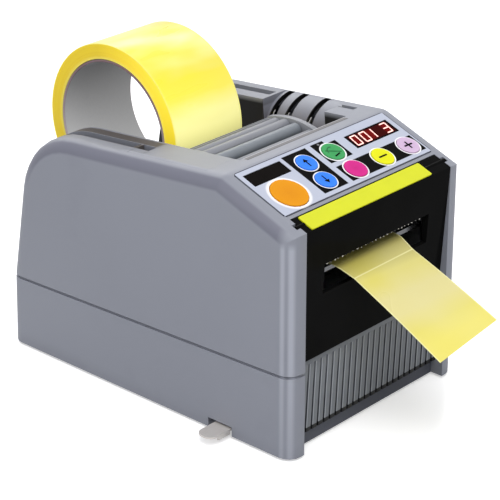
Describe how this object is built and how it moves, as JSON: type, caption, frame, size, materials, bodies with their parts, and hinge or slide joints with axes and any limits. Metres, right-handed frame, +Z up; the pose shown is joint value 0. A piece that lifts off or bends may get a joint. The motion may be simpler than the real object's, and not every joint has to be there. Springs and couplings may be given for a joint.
{
  "type": "electric tape dispenser",
  "caption": "Counter-top electric tape dispenser: sloped keypad console, arched tape guide, loose tape roll on support rollers, motor feed rollers and a toothed cutter behind a front outlet.",
  "frame": {"origin": "middle of the flat underside between the four feet, taken at the desk's surface", "axes": "+Z up, -Y towards the front with the tape outlet, +X to the right seen from the front"},
  "size_m": [0.1552, 0.2801, 0.18],
  "materials": {
    "housing": "satin grey moulded plastic",
    "grille": "fine-textured grey plastic",
    "sill": "matt slate plastic",
    "front_cover": "polished black acrylic",
    "overlay": "printed satin film",
    "display_lens": "polished dark red filter",
    "window_lens": "polished black",
    "lamp": "clear lamp, unlit",
    "start_key": "printed orange with a white ring",
    "blue_key": "printed blue with a white ring",
    "mode_key": "printed green with a white ring",
    "select_key": "printed pink with a white ring",
    "minus_key": "printed yellow with a white ring",
    "plus_key": "printed lilac with a white ring",
    "board": "green solder resist",
    "black_plastic": "satin black plastic",
    "guide": "satin grey plastic",
    "guide_roller": "smooth grey plastic",
    "tape": "glossy clear yellow film",
    "core": "grey cardboard",
    "rubber": "matt black rubber",
    "steel": "turned bright steel",
    "plate": "zinc-plated sheet",
    "blade": "ground hardened steel",
    "gear": "white acetal",
    "brass": "turned brass",
    "motor": "drawn steel can",
    "lever": "polished nickel-plated sheet"
  },
  "bodies": {
    "root": {"upper_housing": "housing", "base_tray": "housing", "foot_front_left": "rubber", "foot_front_right": "rubber", "foot_rear_left": "rubber", "foot_rear_right": "rubber", "screw_front_left": "steel", "screw_front_right": "steel", "screw_rear_left": "steel", "screw_rear_right": "steel", "front_grille": "grille", "front_sill": "sill", "keypad_overlay": "overlay", "display_lens": "display_lens", "window_lens": "window_lens", "indicator_lamp": "lamp", "control_board": "board", "display_module": "black_plastic", "support_axle_front": "steel", "support_axle_rear": "steel", "feed_frame": "plate", "feed_motor": "motor", "cutter_motor": "motor", "fixed_blade": "blade", "tape_strip": "tape", "lever_pin": "steel", "dc_inlet": "black_plastic", "switch_bezel": "black_plastic"},
    "cover": {"front_cover": "front_cover"},
    "guide": {"guide_cover": "guide", "guide_axle": "steel"},
    "guide_roller": {"guide_roller": "guide_roller"},
    "roll": {"tape_winding": "tape", "roll_core": "core"},
    "support_front": {"support_roller_front": "rubber"},
    "support_rear": {"support_roller_rear": "rubber"},
    "feed": {"feed_roller": "rubber", "feed_shaft": "steel", "feed_gear": "gear"},
    "pinion": {"motor_pinion": "brass"},
    "pinch": {"pinch_roller": "rubber"},
    "crank": {"cutter_crank": "brass"},
    "blade": {"moving_blade": "blade", "blade_yoke": "plate"},
    "start": {"start_key": "start_key"},
    "up": {"up_key": "blue_key"},
    "down": {"down_key": "blue_key"},
    "mode": {"mode_key": "mode_key"},
    "select": {"select_key": "select_key"},
    "minus": {"minus_key": "minus_key"},
    "plus": {"plus_key": "plus_key"},
    "lever": {"release_lever": "lever"},
    "rocker": {"power_rocker": "black_plastic"}
  },
  "joints": [
    {"name": "cover_hinge", "type": "hinge", "parent": "root", "child": "cover", "pos_m": [0, -0.10078, 0.12879], "axis": [-1, 0, 0], "range_deg": [0, 70], "deforming": ["tape_strip"]},
    {"name": "guide_hinge", "type": "hinge", "parent": "root", "child": "guide", "pos_m": [0, -0.03975, 0.12932], "axis": [1, 0, 0], "range_deg": [0, 80]},
    {"name": "guide_roller_spin", "type": "hinge", "parent": "guide", "child": "guide_roller", "pos_m": [0, -0.02005, 0.13427], "axis": [1, 0, 0], "continuous": true},
    {"name": "roll_spin", "type": "hinge", "parent": "root", "child": "roll", "pos_m": [-0.003, 0.06025, 0.131], "axis": [1, 0, 0], "continuous": true},
    {"name": "support_front_spin", "type": "hinge", "parent": "root", "child": "support_front", "pos_m": [0, 0.03148, 0.08495], "axis": [1, 0, 0], "continuous": true},
    {"name": "support_rear_spin", "type": "hinge", "parent": "root", "child": "support_rear", "pos_m": [0, 0.08059, 0.08065], "axis": [1, 0, 0], "continuous": true},
    {"name": "feed_spin", "type": "hinge", "parent": "root", "child": "feed", "pos_m": [0, -0.08275, 0.0912], "axis": [1, 0, 0], "continuous": true},
    {"name": "pinion_spin", "type": "hinge", "parent": "root", "child": "pinion", "pos_m": [0.0506, -0.0674, 0.07967], "axis": [1, 0, 0], "continuous": true},
    {"name": "pinch_spin", "type": "hinge", "parent": "root", "child": "pinch", "pos_m": [0, -0.08275, 0.1031], "axis": [1, 0, 0], "continuous": true},
    {"name": "crank_turn", "type": "hinge", "parent": "root", "child": "crank", "pos_m": [-0.0496, -0.0674, 0.07967], "axis": [1, 0, 0], "range_deg": [0, 180], "deforming": ["tape_strip"]},
    {"name": "blade_slide", "type": "slide", "parent": "root", "child": "blade", "axis": [0, 0, -1], "range_m": [0, 0.006], "deforming": ["tape_strip"]},
    {"name": "start_press", "type": "slide", "parent": "root", "child": "start", "axis": [0, 0.3535, -0.9354], "range_m": [0, 0.0005], "stiffness_N_per_m": 400},
    {"name": "up_press", "type": "slide", "parent": "root", "child": "up", "axis": [0, 0.3535, -0.9354], "range_m": [0, 0.0005], "stiffness_N_per_m": 400},
    {"name": "down_press", "type": "slide", "parent": "root", "child": "down", "axis": [0, 0.3535, -0.9354], "range_m": [0, 0.0005], "stiffness_N_per_m": 400},
    {"name": "mode_press", "type": "slide", "parent": "root", "child": "mode", "axis": [0, 0.3535, -0.9354], "range_m": [0, 0.0005], "stiffness_N_per_m": 400},
    {"name": "select_press", "type": "slide", "parent": "root", "child": "select", "axis": [0, 0.3535, -0.9354], "range_m": [0, 0.0005], "stiffness_N_per_m": 400},
    {"name": "minus_press", "type": "slide", "parent": "root", "child": "minus", "axis": [0, 0.3535, -0.9354], "range_m": [0, 0.0005], "stiffness_N_per_m": 400},
    {"name": "plus_press", "type": "slide", "parent": "root", "child": "plus", "axis": [0, 0.3535, -0.9354], "range_m": [0, 0.0005], "stiffness_N_per_m": 400},
    {"name": "lever_swing", "type": "hinge", "parent": "root", "child": "lever", "pos_m": [-0.05, -0.05925, 0.0054], "axis": [0, 0, -1], "range_deg": [0, 12]},
    {"name": "rocker_tilt", "type": "hinge", "parent": "root", "child": "rocker", "pos_m": [-0.034, 0.10591, 0.0255], "axis": [-1, 0, 0], "range_deg": [0, 16]}
  ],
  "couplings": [
    {"joint": "support_front_spin", "follows": "roll_spin", "ratio": -9.8},
    {"joint": "support_rear_spin", "follows": "roll_spin", "ratio": -9.8},
    {"joint": "pinion_spin", "follows": "feed_spin", "ratio": -3},
    {"joint": "pinch_spin", "follows": "feed_spin", "ratio": -1.4444},
    {"joint": "blade_slide", "follows": "crank_turn", "m_per_rad": 0.0019099}
  ]
}
